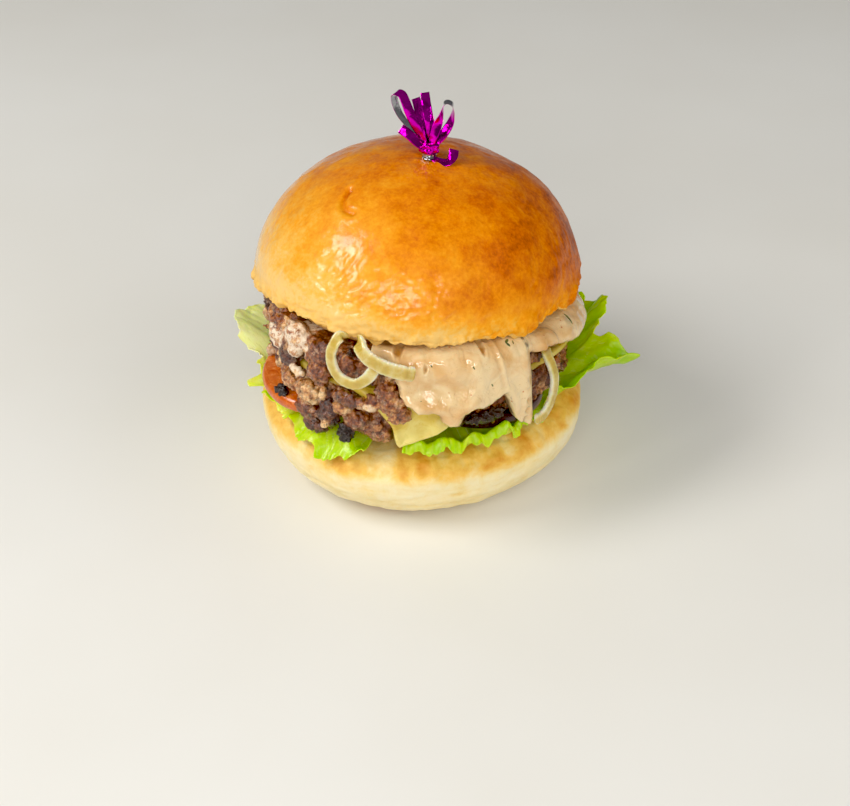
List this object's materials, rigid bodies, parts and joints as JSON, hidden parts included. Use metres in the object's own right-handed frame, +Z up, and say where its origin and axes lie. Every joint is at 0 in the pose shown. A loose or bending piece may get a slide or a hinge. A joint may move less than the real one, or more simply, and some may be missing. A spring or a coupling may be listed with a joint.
{
  "type": "cheeseburger",
  "caption": "Cheeseburger with loose beef patties, draped cheese, sauce, onion, tomato and lettuce in a glazed bun, held by a foil-frilled pick.",
  "frame": {"origin": "centre of the bun's flat base, on the surface that the burger stands on", "axes": "+Z up; -Y points out of the front, where the sauce and a corner of cheese hang down; +X points to the right of someone facing that front"},
  "size_m": [0.1425, 0.1248, 0.1372],
  "materials": {
    "glazed_crust": "egg-washed and baked, glossy golden brown, darker on top",
    "pale_crust": "soft pale bread crust with a toasted shoulder",
    "seared_beef": "coarse minced beef, seared, with charred spots and moist fat",
    "melted_cheese": "pale melted cheese, soft sheen",
    "sauce": "creamy burger sauce with herbs and spice",
    "tomato": "ripe tomato, wet cut face and smooth skin",
    "lettuce": "fresh curly lettuce, waxy",
    "fried_onion": "softened translucent onion",
    "birch_wood": "plain turned wooden stick",
    "metallised_foil": "coloured metallised film, bright, silver on its back"
  },
  "bodies": {
    "root": {"bun_heel": "pale_crust", "bun_crown": "glazed_crust", "lettuce_leaf_left": "lettuce", "lettuce_leaf_front": "lettuce", "lettuce_leaf_right": "lettuce", "lettuce_leaf_back": "lettuce", "tomato_slice_left": "tomato", "tomato_slice_right": "tomato", "tomato_slice_back": "tomato", "patty_lower": "seared_beef", "patty_upper": "seared_beef", "cheese_slice": "melted_cheese", "sauce": "sauce", "onion_strip_left": "fried_onion", "onion_strip_front": "fried_onion", "onion_strip_right": "fried_onion", "pick_stick": "birch_wood", "foil_frill": "metallised_foil"}
  },
  "joints": []
}
